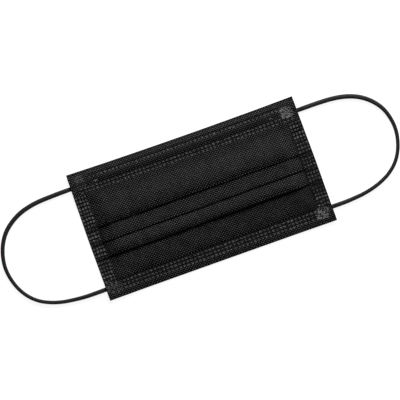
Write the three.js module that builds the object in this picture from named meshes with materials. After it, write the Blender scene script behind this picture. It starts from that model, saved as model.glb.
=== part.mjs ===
// Disposable pleated face mask, lying face up with its two elastic ear loops spread beside it.
//
// Millimetres. +X runs to the right along the mask, +Y runs up the mask to its nose edge, and +Z
// points out of its outer face. The origin lies under the middle of the mask, on the surface that
// it rests on. "down" is the distance below the line through the two top corners.
import * as THREE from "three";

// ---- Driving dimensions ---------------------------------------------------------------------

const MASK = { width: 175, height: 96.2 };
const GAP = 0.3; // clearance between neighbouring pieces
const WALL = 1.05; // the cloth, three plies laid together
const PLY = WALL + GAP; // height from one laid ply to the next

// The long edges dip towards the middle, the sides bow out there, the right side leans in towards
// the nose edge, and the left side stands a little taller than the right one.
const EDGE = { topDish: 0.8, bottomDish: 0.12, sideBow: 0.5, rightLean: 1.0, leftTaller: 0.0036 };

const TOP_HEM = { depth: 17.1, flap: 16.1 };
const BOTTOM_HEM = { depth: 12.8, flap: 11.8 };
const SEAM = { left: 9.3, right: 10.1 };

// The nose wire and the ridge that it raises in the top hem.
const WIRE = { length: 124, width: 4, thick: 0.8, down: 9.8 };
const RIDGE = { flat: 4.8, ramp: 1.7 };

// Three knife pleats. Each row gives how far down the fold edge lies at the left, in the middle
// and at the right, how deep the return tucks under it, and how far the visible strip above the
// edge puffs up.
const PLEATS = [
  { name: "upper", left: 42.9, middle: 42.8, right: 41.9, tuck: 11.2, puff: 0.8 },
  { name: "middle", left: 54.2, middle: 54.1, right: 53.5, tuck: 10.9, puff: 0.6 },
  { name: "lower", left: 65.3, middle: 65.1, right: 64.5, tuck: 10.6, puff: 0.7 },
];
const CHIN_PUFF = 0.7;

// How the pleated stack lies: the height of an imagined uppermost ply, above the surface.
const LAY = [
  { down: 17.4, height: 1.9 },
  { down: 24.4, height: 2.6 },
  { down: 31.4, height: 3.5 },
  { down: 42.8, height: 6.1 },
  { down: 54.1, height: 8.8 },
  { down: 65.1, height: 11.3 },
  { down: 74.4, height: 11.5 },
  { down: 83.4, height: 10.0 },
];
const DOME = 0.8; // how far the middle of the panel bows up
const PINCH = { share: 0.6, run: 12 }; // the stack is pressed to this share at the side seams

// The side seams: pressed thickness at the outer and the inner edge of the band, down the mask.
const SEAM_PRESS = [
  { down: 17.4, outer: 1.05, inner: 1.1 },
  { down: 30.4, outer: 1.05, inner: 1.3 },
  { down: 32.4, outer: 1.3, inner: 2.0 },
  { down: 64.4, outer: 1.3, inner: 2.0 },
  { down: 66.4, outer: 1.05, inner: 1.3 },
  { down: 83.1, outer: 1.05, inner: 1.1 },
];

// The cord ends are welded under the corners: thick where they come in under the edge of the cloth
// and pressed flat further in. in is the distance from the side edge of the mask.
const PAD = { width: 4.2, tip: 1.2 };
const PAD_PRESS = [
  { in: 0.0, thick: 1.7 },
  { in: 5.0, thick: 1.0 },
  { in: 9.0, thick: 1.0 },
];
const PADS = [
  { name: "loop_weld_top_left", side: -1, y: 37.8, reach: 8.6 },
  { name: "loop_weld_bottom_left", side: -1, y: -39.6, reach: 7.6 },
  { name: "loop_weld_top_right", side: 1, y: 37.0, reach: 8.6 },
  { name: "loop_weld_bottom_right", side: 1, y: -37.6, reach: 8.6 },
];

// The corners of the cloth ride over the cord ends, and come down to the surface further in.
const LIFT = [
  { in: 0.0, height: 2.0 },
  { in: 5.0, height: 1.35 },
  { in: 10.0, height: 1.3 },
  { in: 14.0, height: 0.9 },
  { in: 20.0, height: 0.3 },
  { in: 26.0, height: 0.0 },
];
const LIFT_FADE = 16; // how far past a hem the lift dies out

// The elastic cords lie on the surface, from one corner of a side to the other.
const CORD = { diameter: 3.0, sides: 8, stepsPerLoop: 34 };
const LOOP_ROUTES = {
  ear_loop_left: [
    [-87.8, 37.8], [-94.1, 37.8], [-99.6, 37.7], [-105.6, 37.5], [-112.5, 37.1], [-119.8, 36.0],
    [-127.7, 33.8], [-135.3, 29.9], [-142.1, 24.3], [-147.1, 17.1], [-150.3, 8.8], [-151.6, 0],
    [-150.6, -8.8], [-147.8, -17.3], [-143.2, -24.8], [-136.8, -30.8], [-129.0, -34.9],
    [-121.0, -37.4], [-113.5, -38.6], [-106.6, -39.3], [-100.2, -39.6], [-94.4, -39.6],
    [-87.8, -39.6],
  ],
  ear_loop_right: [
    [87.0, 37.0], [94.0, 37.0], [99.4, 37.0], [105.4, 36.9], [112.2, 36.6], [119.5, 35.6],
    [127.4, 33.4], [134.9, 29.6], [141.4, 24.0], [146.3, 16.9], [149.0, 8.6], [149.8, 0],
    [148.4, -8.5], [145.2, -16.6], [140.3, -23.5], [133.7, -28.9], [126.3, -32.6],
    [118.8, -35.0], [111.9, -36.4], [105.4, -37.1], [99.6, -37.5], [94.1, -37.6],
    [87.8, -37.6],
  ],
};

const COLOURS = { cloth: 0x1d1d1e, seam: 0x242425, cord: 0x1a1a1b, wire: 0xb9bcc0 };

const HALF = { width: MASK.width / 2, height: MASK.height / 2 };
const BOTTOM_HEM_START = MASK.height - BOTTOM_HEM.depth;

// ---- Helpers --------------------------------------------------------------------------------

/** 0 below from, 1 above to, smooth between. */
function ramp(value, from, to) {
  return THREE.MathUtils.smoothstep(value, from, to);
}

/** Reads a column of a table at a value of its key column, with straight runs between the rows. */
function readTable(rows, key, value, column) {
  const next = rows.findIndex((row) => row[key] >= value);
  if (next === 0) return rows[0][column];
  if (next < 0) return rows[rows.length - 1][column];
  const [a, b] = [rows[next - 1], rows[next]];
  return THREE.MathUtils.lerp(a[column], b[column], (value - a[key]) / (b[key] - a[key]));
}

/** How far a corner is lifted by the cord end that is welded under it. */
function cornerLift(x, down) {
  const lift = readTable(LIFT, "in", HALF.width - Math.abs(x), "height");
  const nearTop = 1 - ramp(down, TOP_HEM.depth, TOP_HEM.depth + LIFT_FADE);
  const nearBottom = ramp(down, BOTTOM_HEM_START - LIFT_FADE, BOTTOM_HEM_START);
  return lift * Math.max(nearTop, nearBottom);
}

/** Places a point of the flat mask: across, down and height become x, y and z. */
function place(x, down, height) {
  const across = x / HALF.width;
  const bow = 1 - across * across;
  const nearTop = 1 - ramp(down, 0, 3 * TOP_HEM.depth);
  const nearBottom = 1 - ramp(MASK.height - down, 0, 3 * BOTTOM_HEM.depth);
  const dish = bow * (EDGE.topDish * nearTop - EDGE.bottomDish * nearBottom);
  const lean = EDGE.rightLean * (1 - down / MASK.height) * ((1 + across) / 2);
  const middle = (2 * down) / MASK.height - 1;
  const bulge = EDGE.sideBow * across * Math.max(0, 1 - (middle / 0.75) ** 2);
  const taller = 1 - EDGE.leftTaller * across;
  return [x - lean + bulge, (HALF.height - down - dish) * taller, height + cornerLift(x, down)];
}

/** Adds a flat run of cloth to a path. facing is +1 where its outer side looks up. */
function addRun(path, from, to, steps, height, facing, puff = 0) {
  for (let i = 0; i <= steps; i += 1) {
    const share = i / steps;
    const down = THREE.MathUtils.lerp(from, to, share);
    const swell = puff * Math.sin(Math.PI * share);
    path.push({ down, height, normal: [0, facing], half: WALL / 2, swell });
  }
}

/** Adds a half turn between two plies. bulge is +1 where it bulges down the mask. */
function addTurn(path, down, from, to, bulge, facing) {
  const radius = Math.abs(from - to) / 2;
  const sense = Math.sign(from - to);
  const steps = 4;
  for (let i = 1; i < steps; i += 1) {
    const angle = (Math.PI * i) / steps;
    const [side, up] = [bulge * Math.sin(angle), Math.cos(angle)];
    path.push({
      down: down + radius * side,
      height: (from + to) / 2 + sense * radius * up,
      normal: [facing * sense * side, facing * up],
      half: WALL / 2,
      swell: 0,
    });
  }
}

/**
 * Lofts a closed solid across the mask. pathAt(x) gives the same number of path points at every
 * station; each point is widened to both sides of the path, and lay(x, point) settles its height.
 */
function clothSolid(stations, pathAt, lay) {
  const positions = [];
  for (const x of stations) {
    for (const point of pathAt(x)) {
      for (const side of [1, -1]) {
        const down = point.down + side * point.half * point.normal[0];
        const height = point.height + side * point.half * point.normal[1];
        positions.push(...place(x, down, lay(x, down, height, point)));
      }
    }
  }
  const count = pathAt(stations[0]).length;
  const vertex = (station, i, side) => (station * count + i) * 2 + side;
  const indices = [];
  const quad = (a, b, c, d) => indices.push(a, b, c, a, c, d);
  for (let s = 0; s + 1 < stations.length; s += 1) {
    for (let i = 0; i + 1 < count; i += 1) {
      quad(vertex(s, i, 0), vertex(s, i + 1, 0), vertex(s + 1, i + 1, 0), vertex(s + 1, i, 0));
      quad(vertex(s, i, 1), vertex(s + 1, i, 1), vertex(s + 1, i + 1, 1), vertex(s, i + 1, 1));
    }
    const end = count - 1;
    quad(vertex(s, 0, 0), vertex(s + 1, 0, 0), vertex(s + 1, 0, 1), vertex(s, 0, 1));
    quad(vertex(s, end, 0), vertex(s, end, 1), vertex(s + 1, end, 1), vertex(s + 1, end, 0));
  }
  const last = stations.length - 1;
  for (let i = 0; i + 1 < count; i += 1) {
    quad(vertex(0, i, 0), vertex(0, i, 1), vertex(0, i + 1, 1), vertex(0, i + 1, 0));
    quad(vertex(last, i, 0), vertex(last, i + 1, 0), vertex(last, i + 1, 1), vertex(last, i, 1));
  }
  const geometry = new THREE.BufferGeometry();
  geometry.setAttribute("position", new THREE.Float32BufferAttribute(positions, 3));
  geometry.setIndex(indices);
  geometry.computeVertexNormals();
  return geometry;
}

/** Stations across the mask, closer together near the two ends. */
function stationsBetween(left, right, count) {
  const middle = (left + right) / 2;
  return Array.from({ length: count }, (_, i) => {
    const turn = (Math.PI / 2) * ((2 * i) / (count - 1) - 1);
    return middle + ((right - left) / 2) * Math.sin(turn);
  });
}

function named(name, geometry, color, roughness, metalness = 0) {
  const mesh = new THREE.Mesh(
    geometry,
    new THREE.MeshStandardMaterial({ color, roughness, metalness }),
  );
  mesh.name = name;
  return mesh;
}

// ---- The pleated panel ----------------------------------------------------------------------

/** How far down a fold edge lies at a station, from its left, middle and right values. */
function foldEdge(pleat, x) {
  const across = x / HALF.width;
  const slope = (pleat.right - pleat.left) / 2;
  const bend = (pleat.left + pleat.right) / 2 - pleat.middle;
  return pleat.middle + slope * across + bend * across * across;
}

/** The laid path of the cloth from the top hem to the bottom hem, each pleat a ply pair lower. */
function panelPath(x) {
  const path = [];
  const nose = PLY / 2 + WALL / 2; // from the centre of a turn to its outer face
  let visibleFrom = TOP_HEM.depth + GAP;
  let height = 0;
  for (const pleat of PLEATS) {
    const edge = foldEdge(pleat, x) - nose;
    addRun(path, visibleFrom, edge, 6, height, 1, pleat.puff);
    addTurn(path, edge, height, height - PLY, 1, 1);
    const tuckEnd = edge - pleat.tuck;
    addRun(path, edge, tuckEnd, 3, height - PLY, -1);
    addTurn(path, tuckEnd, height - PLY, height - 2 * PLY, -1, -1);
    height -= 2 * PLY;
    addRun(path, tuckEnd, edge, 3, height, 1);
    path.pop();
    visibleFrom = edge;
  }
  addRun(path, visibleFrom, BOTTOM_HEM_START - GAP, 7, height, 1, CHIN_PUFF);
  return path;
}

/** Settles a ply on the stack below it: level along the mask, bowed up, and pinched at the ends. */
function layPanel(x, down, height, point) {
  const inward = ramp(HALF.width - SEAM.left - Math.abs(x), 0, PINCH.run);
  const inStack = ramp(down, TOP_HEM.depth, 30.4) * (1 - ramp(down, 72.4, BOTTOM_HEM_START));
  const press = 1 - (1 - PINCH.share) * (1 - inward) * inStack;
  const dome = DOME * inward * inStack;
  const level = height + readTable(LAY, "down", down, "height") + point.swell * inward;
  return level * press + dome;
}

function pleatedPanel() {
  const left = -HALF.width + SEAM.left + GAP;
  const right = HALF.width - SEAM.right - GAP;
  const geometry = clothSolid(stationsBetween(left, right, 11), panelPath, layPanel);
  return named("pleated_panel", geometry, COLOURS.cloth, 0.85);
}

// ---- The hems -------------------------------------------------------------------------------

/** Height of the ridge that the nose wire raises in the upper ply of the top hem. */
function ridge(x, down) {
  const aside = Math.abs(down - WIRE.down) - RIDGE.flat / 2;
  const beyond = Math.abs(x) - WIRE.length / 2;
  return (WIRE.thick + GAP) * (1 - ramp(aside, 0, RIDGE.ramp)) * (1 - ramp(beyond, 1, 5));
}

/** A hem: the cloth runs over the edge of the mask and a flap of it lies underneath. */
function hemPath(inner, flapEnd, outer) {
  const path = [];
  const nose = PLY / 2 + WALL / 2;
  const turnAt = outer + Math.sign(inner - outer) * nose;
  const bulge = Math.sign(outer - inner);
  const [under, over] = [WALL / 2, WALL / 2 + PLY];
  if (bulge < 0) {
    addRun(path, flapEnd, turnAt, 6, under, -1);
    addTurn(path, turnAt, under, over, -1, -1);
    addRun(path, turnAt, inner, 18, over, 1);
  } else {
    addRun(path, inner, turnAt, 6, over, 1);
    addTurn(path, turnAt, over, under, 1, 1);
    addRun(path, turnAt, flapEnd, 6, under, -1);
  }
  return path;
}

function topHem() {
  const pathAt = () => hemPath(TOP_HEM.depth, TOP_HEM.flap, 0);
  const lay = (x, down, height) => height + (height > PLY - GAP / 2 ? ridge(x, down) : 0);
  const geometry = clothSolid(stationsBetween(-HALF.width, HALF.width, 13), pathAt, lay);
  return named("top_hem", geometry, COLOURS.cloth, 0.85);
}

function bottomHem() {
  const flapEnd = MASK.height - BOTTOM_HEM.flap;
  const pathAt = () => hemPath(BOTTOM_HEM_START, flapEnd, MASK.height);
  const lay = (x, down, height) => height;
  const geometry = clothSolid(stationsBetween(-HALF.width, HALF.width, 13), pathAt, lay);
  return named("bottom_hem", geometry, COLOURS.cloth, 0.85);
}

// ---- The side seams -------------------------------------------------------------------------

/** A side seam: one pressed strip between the hems, thicker where the pleats run into it. */
function sideSeam(name, side, width) {
  const inner = HALF.width - width;
  const stations = [-1, 0, 1].map((step) => side * (HALF.width - width / 2) + (step * width) / 2);
  const from = TOP_HEM.depth + GAP;
  const to = BOTTOM_HEM_START - GAP;
  const steps = 22;
  const pathAt = (x) => Array.from({ length: steps + 1 }, (_, i) => {
    const down = THREE.MathUtils.lerp(from, to, i / steps);
    const inward = (HALF.width - Math.abs(x)) / (HALF.width - inner);
    const outerPress = readTable(SEAM_PRESS, "down", down, "outer");
    const innerPress = readTable(SEAM_PRESS, "down", down, "inner");
    const thick = THREE.MathUtils.lerp(outerPress, innerPress, inward);
    return { down, height: thick / 2, normal: [0, 1], half: thick / 2, swell: 0 };
  });
  const geometry = clothSolid(stations, pathAt, (x, down, height) => height);
  return named(name, geometry, COLOURS.seam, 0.7);
}

// ---- The nose wire --------------------------------------------------------------------------

/** A flat strip that follows the channel between the two plies of the top hem. */
function noseWire() {
  const half = WIRE.length / 2;
  const base = WALL + GAP;
  const pathAt = () => [-1, 1].map((step) => ({
    down: WIRE.down + (step * WIRE.width) / 2,
    height: base + WIRE.thick / 2,
    normal: [0, 1],
    half: WIRE.thick / 2,
    swell: 0,
  }));
  const geometry = clothSolid(stationsBetween(-half, half, 13), pathAt, (x, down, height) => height);
  return named("nose_wire", geometry, COLOURS.wire, 0.45, 0.6);
}

// ---- The ear loops --------------------------------------------------------------------------

/** A round cord that lies on the surface along its route. */
function earLoop(name) {
  const radius = CORD.diameter / 2;
  const points = LOOP_ROUTES[name].map(([x, y]) => new THREE.Vector3(x, y, radius));
  const section = new THREE.Shape();
  for (let i = 0; i < CORD.sides; i += 1) {
    const angle = (2 * Math.PI * i) / CORD.sides;
    const corner = [radius * Math.cos(angle), radius * Math.sin(angle)];
    if (i === 0) section.moveTo(...corner);
    else section.lineTo(...corner);
  }
  const geometry = new THREE.ExtrudeGeometry(section, {
    steps: CORD.stepsPerLoop,
    extrudePath: new THREE.CatmullRomCurve3(points, false, "centripetal"),
  });
  return named(name, geometry, COLOURS.cord, 0.8);
}

/** The welded end of a cord: a tongue with a rounded tip that thins from the edge of the mask. */
function loopWeld({ name, side, y, reach }) {
  const outer = side < 0 ? -HALF.width : place(HALF.width, HALF.height - y, 0)[0];
  const half = PAD.width / 2;
  const outline = new THREE.Shape();
  const pressed = PAD_PRESS[1].in;
  outline.moveTo(0, -half);
  outline.lineTo(pressed, -half);
  outline.lineTo(reach - PAD.tip, -half);
  outline.quadraticCurveTo(reach, -half, reach, 0);
  outline.quadraticCurveTo(reach, half, reach - PAD.tip, half);
  outline.lineTo(pressed, half);
  outline.lineTo(0, half);
  outline.closePath();
  const geometry = new THREE.ExtrudeGeometry(outline, {
    depth: 1,
    bevelEnabled: false,
    curveSegments: 4,
  });
  const position = geometry.getAttribute("position");
  for (let i = 0; i < position.count; i += 1) {
    const thick = readTable(PAD_PRESS, "in", position.getX(i), "thick");
    position.setZ(i, position.getZ(i) * thick);
  }
  const mesh = named(name, geometry, COLOURS.cord, 0.6);
  mesh.position.set(outer, y, 0);
  mesh.rotation.z = side < 0 ? 0 : Math.PI;
  return mesh;
}

// ---- The mask -------------------------------------------------------------------------------

const body = new THREE.Group();
body.name = "mask_body";
body.add(
  pleatedPanel(),
  topHem(),
  bottomHem(),
  sideSeam("side_seam_left", -1, SEAM.left),
  sideSeam("side_seam_right", 1, SEAM.right),
  noseWire(),
);

const loops = new THREE.Group();
loops.name = "ear_loops";
for (const name of Object.keys(LOOP_ROUTES)) loops.add(earLoop(name));
for (const pad of PADS) loops.add(loopWeld(pad));

const group = new THREE.Group();
group.name = "disposable_face_mask";
group.add(body, loops);

export default group;
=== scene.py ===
"""A black disposable face mask, lying face up with its two elastic ear loops spread beside it.

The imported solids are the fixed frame. Each of them is dressed here by a finer piece of the same form:
pleated and point-embossed nonwoven cloth, folded hems with rows of welded points, pressed side seams,
knitted cords and their welded ends. Lengths inside the classes are millimetres and become metres when a mesh
is made. On the flat mask, x runs to the right of its middle, and down runs below the line through its two
top corners.
"""

from __future__ import annotations

import logging
import math
from dataclasses import dataclass, replace
from enum import Enum
from typing import Iterable

import bpy
import numpy as np
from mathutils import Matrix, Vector

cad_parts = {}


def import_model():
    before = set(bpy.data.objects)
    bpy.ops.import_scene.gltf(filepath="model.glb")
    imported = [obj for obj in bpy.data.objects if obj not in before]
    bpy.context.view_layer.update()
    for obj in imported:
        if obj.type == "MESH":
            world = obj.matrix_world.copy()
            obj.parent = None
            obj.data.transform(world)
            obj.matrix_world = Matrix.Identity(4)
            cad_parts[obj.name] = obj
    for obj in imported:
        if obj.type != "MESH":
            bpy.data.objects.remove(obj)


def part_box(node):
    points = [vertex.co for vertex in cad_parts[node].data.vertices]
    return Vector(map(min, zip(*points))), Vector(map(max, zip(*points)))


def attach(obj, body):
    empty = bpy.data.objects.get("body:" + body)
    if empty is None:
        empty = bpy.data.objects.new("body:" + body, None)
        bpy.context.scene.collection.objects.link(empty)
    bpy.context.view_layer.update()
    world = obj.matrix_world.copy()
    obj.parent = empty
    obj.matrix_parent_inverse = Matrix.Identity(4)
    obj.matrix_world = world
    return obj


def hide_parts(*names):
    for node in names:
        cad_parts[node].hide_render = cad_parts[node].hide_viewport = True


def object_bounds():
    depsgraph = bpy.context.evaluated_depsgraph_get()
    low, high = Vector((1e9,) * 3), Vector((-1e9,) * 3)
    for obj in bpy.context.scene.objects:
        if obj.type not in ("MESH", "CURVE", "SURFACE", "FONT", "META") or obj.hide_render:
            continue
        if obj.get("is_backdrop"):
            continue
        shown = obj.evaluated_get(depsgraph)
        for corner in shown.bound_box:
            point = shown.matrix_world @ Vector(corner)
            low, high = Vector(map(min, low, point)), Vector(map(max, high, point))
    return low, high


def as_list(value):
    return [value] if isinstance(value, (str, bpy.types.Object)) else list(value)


LOG = logging.getLogger("face_mask")
MM = 0.001
BODY = "root"
TURN = 2 * math.pi
SHARP_ANGLE = math.radians(50)
Array = np.ndarray
Colour = tuple[float, float, float]
Span = tuple[float, float]
Table = tuple[tuple[float, ...], ...]
Object = bpy.types.Object
Material = bpy.types.Material
Socket = bpy.types.NodeSocket


class Side(Enum):
    """The two ends of the mask, named as they lie, with the sign of X there."""

    LEFT = -1
    RIGHT = 1


class Edge(Enum):
    """The two long edges of the mask."""

    TOP = "top"
    BOTTOM = "bottom"


# ---- Small tools for shapes ----


def ramp(value: Array, start: float, end: float) -> Array:
    """Rise smoothly from 0 at start to 1 at end."""
    share = np.clip((value - start) / (end - start), 0, 1)
    return share * share * (3 - 2 * share)


def fall(value: Array, start: float, end: float) -> Array:
    """Fall smoothly from 1 at start to 0 at end."""
    return 1 - ramp(value, start, end)


def hump(value: Array, centre: float | Array, reach: float) -> Array:
    """A smooth hump of height 1 at its centre, which dies out over its reach."""
    return np.exp(-(((value - centre) / reach) ** 2))


def rounded_reach(a: Array, b: Array, power: float) -> Array:
    """Distance from the middle of a rounded rectangle, 1 on its outline."""
    return (np.abs(a) ** power + np.abs(b) ** power) ** (1 / power)


def smooth_table(value: Array, rows: Table) -> Array:
    """Read a short table with a smooth curve through its rows.

    Args:
        value: The numbers to look up.
        rows: Pairs of key and height, in rising order of key.

    Returns:
        The height at each number, held level beyond the table.
    """
    keys, heights = np.array(rows, float).T
    slopes = np.gradient(heights, keys)
    i = np.clip(np.searchsorted(keys, value) - 1, 0, len(keys) - 2)
    width = keys[i + 1] - keys[i]
    t = np.clip((value - keys[i]) / width, 0, 1)
    start = (1 + 2 * t) * (1 - t) ** 2 * heights[i] + t * (1 - t) ** 2 * width * slopes[i]
    end = t * t * (3 - 2 * t) * heights[i + 1] + t * t * (t - 1) * width * slopes[i + 1]
    return start + end


def run_along(line: Array) -> Array:
    """Distance along a line to each of its points."""
    return np.concatenate([[0], np.cumsum(np.linalg.norm(np.diff(line, axis=0), axis=1))])


@dataclass(frozen=True)
class Ripple:
    """Smooth repeatable unevenness: a sum of plane waves with seeded directions and phases."""

    seed: int
    wavelength: float
    waves: int = 16
    spread: float = 0.45

    def at(self, a: Array, b: Array) -> Array:
        """Read the unevenness.

        Args:
            a: First coordinate in millimetres.
            b: Second coordinate in millimetres.

        Returns:
            The height at each point, with a spread of about 1.
        """
        rng = np.random.default_rng(self.seed)
        angles = rng.uniform(0, TURN, self.waves)
        lengths = self.wavelength * rng.uniform(1 - self.spread, 1 + self.spread, self.waves)
        phases = rng.uniform(0, TURN, self.waves)
        total = sum(np.cos((a * math.cos(angle) + b * math.sin(angle)) * TURN / length + phase)
                    for angle, length, phase in zip(angles, lengths, phases))
        return total * math.sqrt(2 / self.waves)


def grid_normals(points: Array) -> Array:
    """Unit normals of a grid of points, out of the side that along x across looks to."""
    normal = np.cross(np.gradient(points, axis=1), np.gradient(points, axis=0))
    return normal / np.maximum(np.linalg.norm(normal, axis=2, keepdims=True), 1e-9)


def numbered(rows: int, columns: int, first: int = 0) -> Array:
    """The numbers of the vertices of a grid."""
    return first + np.arange(rows * columns).reshape(rows, columns)


def quads(index: Array) -> list[list[int]]:
    """The faces between the numbered vertices of a grid."""
    corners = index[:-1, :-1], index[:-1, 1:], index[1:, 1:], index[1:, :-1]
    return np.stack(corners, axis=-1).reshape(-1, 4).tolist()


def rim(index: Array) -> list[int]:
    """The vertices once round the rim of a grid, starting and ending at its first corner."""
    sides = index[:, 0], index[-1, 1:], index[-2::-1, -1], index[0, -2::-1]
    return np.concatenate(sides).tolist()


def add_object(name: str, data: bpy.types.ID) -> Object:
    """Add an object to the scene.

    Args:
        name: Name of the object.
        data: Its mesh, light or camera.

    Returns:
        The new object.
    """
    made = bpy.data.objects.new(name, data)
    bpy.context.scene.collection.objects.link(made)
    return made


def mesh_object(name: str, points: Array, faces: list[list[int]]) -> Object:
    """Make a smooth-shaded object.

    Args:
        name: Name of the object.
        points: Points in millimetres, with x, y and z on the last axis.
        faces: Vertex numbers of each face.

    Returns:
        The new object.
    """
    mesh = bpy.data.meshes.new(name)
    mesh.from_pydata((points.reshape(-1, 3) * MM).tolist(), [], faces)
    mesh.validate()
    mesh.shade_smooth()
    mesh.set_sharp_from_angle(angle=SHARP_ANGLE)
    return add_object(name, mesh)


def add_layer(made: Object, name: str, values: Array) -> None:
    """Write numbers or vectors on the vertices of an object, for its finish to read.

    Args:
        made: The object.
        name: Name of the layer.
        values: One number for each vertex, or three on the last axis.
    """
    kind, key = ("FLOAT", "value") if values.ndim == 1 else ("FLOAT_VECTOR", "vector")
    layer = made.data.attributes.new(name, kind, "POINT")
    layer.data.foreach_set(key, np.ascontiguousarray(values, np.float32).ravel())


def tube(name: str, rings: Array) -> Object:
    """Make a closed tube.

    Args:
        name: Name of the object.
        rings: Grid of points, one row for each ring, which turns clockwise when seen along the tube.

    Returns:
        The new object.
    """
    index = numbered(*rings.shape[:2])
    faces = quads(np.hstack([index, index[:, :1]]).T)
    return mesh_object(name, rings, faces + [index[0].tolist(), index[-1, ::-1].tolist()])


def shell(name: str, outer: Array, inner: Array, stride: int, fabric: Array, fused: Array) -> Object:
    """Make a closed sheet from a fine outer grid and a coarser inner one.

    Args:
        name: Name of the object.
        outer: Grid of points of the outer face, with all of its relief.
        inner: Grid of the same size for the inner face.
        stride: How many steps of the outer grid make one of the inner grid.
        fabric: Place of each grid point on the uncut cloth, across and along.
        fused: How far the cloth is melted at each grid point, or how much shade is painted where it is below
            0.

    Returns:
        The new object, with the layers fused and fabric, whose third part is 1 on the inner face.
    """
    rows, columns = (np.unique([*range(0, count, stride), count - 1]) for count in outer.shape[:2])
    kept = np.ix_(rows, columns)
    fine = numbered(*outer.shape[:2])
    coarse = numbered(len(rows), len(columns), fine.size)
    faces = quads(fine) + [face[::-1] for face in quads(coarse)]
    fine_rim, coarse_rim, shared = rim(fine), rim(coarse), set(rim(fine[kept]))
    stops = [k for k, vertex in enumerate(fine_rim) if vertex in shared]
    for here, there, start, end in zip(coarse_rim, coarse_rim[1:], stops, stops[1:]):
        middle = (start + end) // 2
        faces += [(fine_rim[k], fine_rim[k + 1], here if k < middle else there) for k in range(start, end)]
        faces.append((fine_rim[middle], there, here))
    made = mesh_object(name, np.concatenate([grid.reshape(-1, 3) for grid in (outer, inner[kept])]), faces)
    places = np.concatenate([fabric.reshape(-1, 2), fabric[kept].reshape(-1, 2)])
    add_layer(made, "fabric", np.column_stack([places, np.arange(len(places)) >= fine.size]))
    add_layer(made, "fused", np.append(fused, np.zeros(coarse.size)))
    return made


# ---- The form that all cloth pieces share ----


@dataclass(frozen=True)
class Swell:
    """How a strip of cloth swells between its two ends: a puff and a roll, each with its own crest."""

    puff: float
    puff_crest: float
    roll: float = 0
    roll_crest: float = 0.8

    def at(self, share: float) -> float:
        """Height of the swelling at a share of the strip."""
        waves = (self.puff, self.puff_crest), (self.roll, self.roll_crest)
        return sum(height * math.sin(math.pi * share ** (math.log(0.5) / math.log(crest)))
                   for height, crest in waves)


@dataclass(frozen=True)
class Pleat:
    """One knife pleat: how far down its fold edge lies, and how its strip swells. Millimetres."""

    left: float
    middle: float
    right: float
    tuck: float
    swell: Swell


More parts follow.
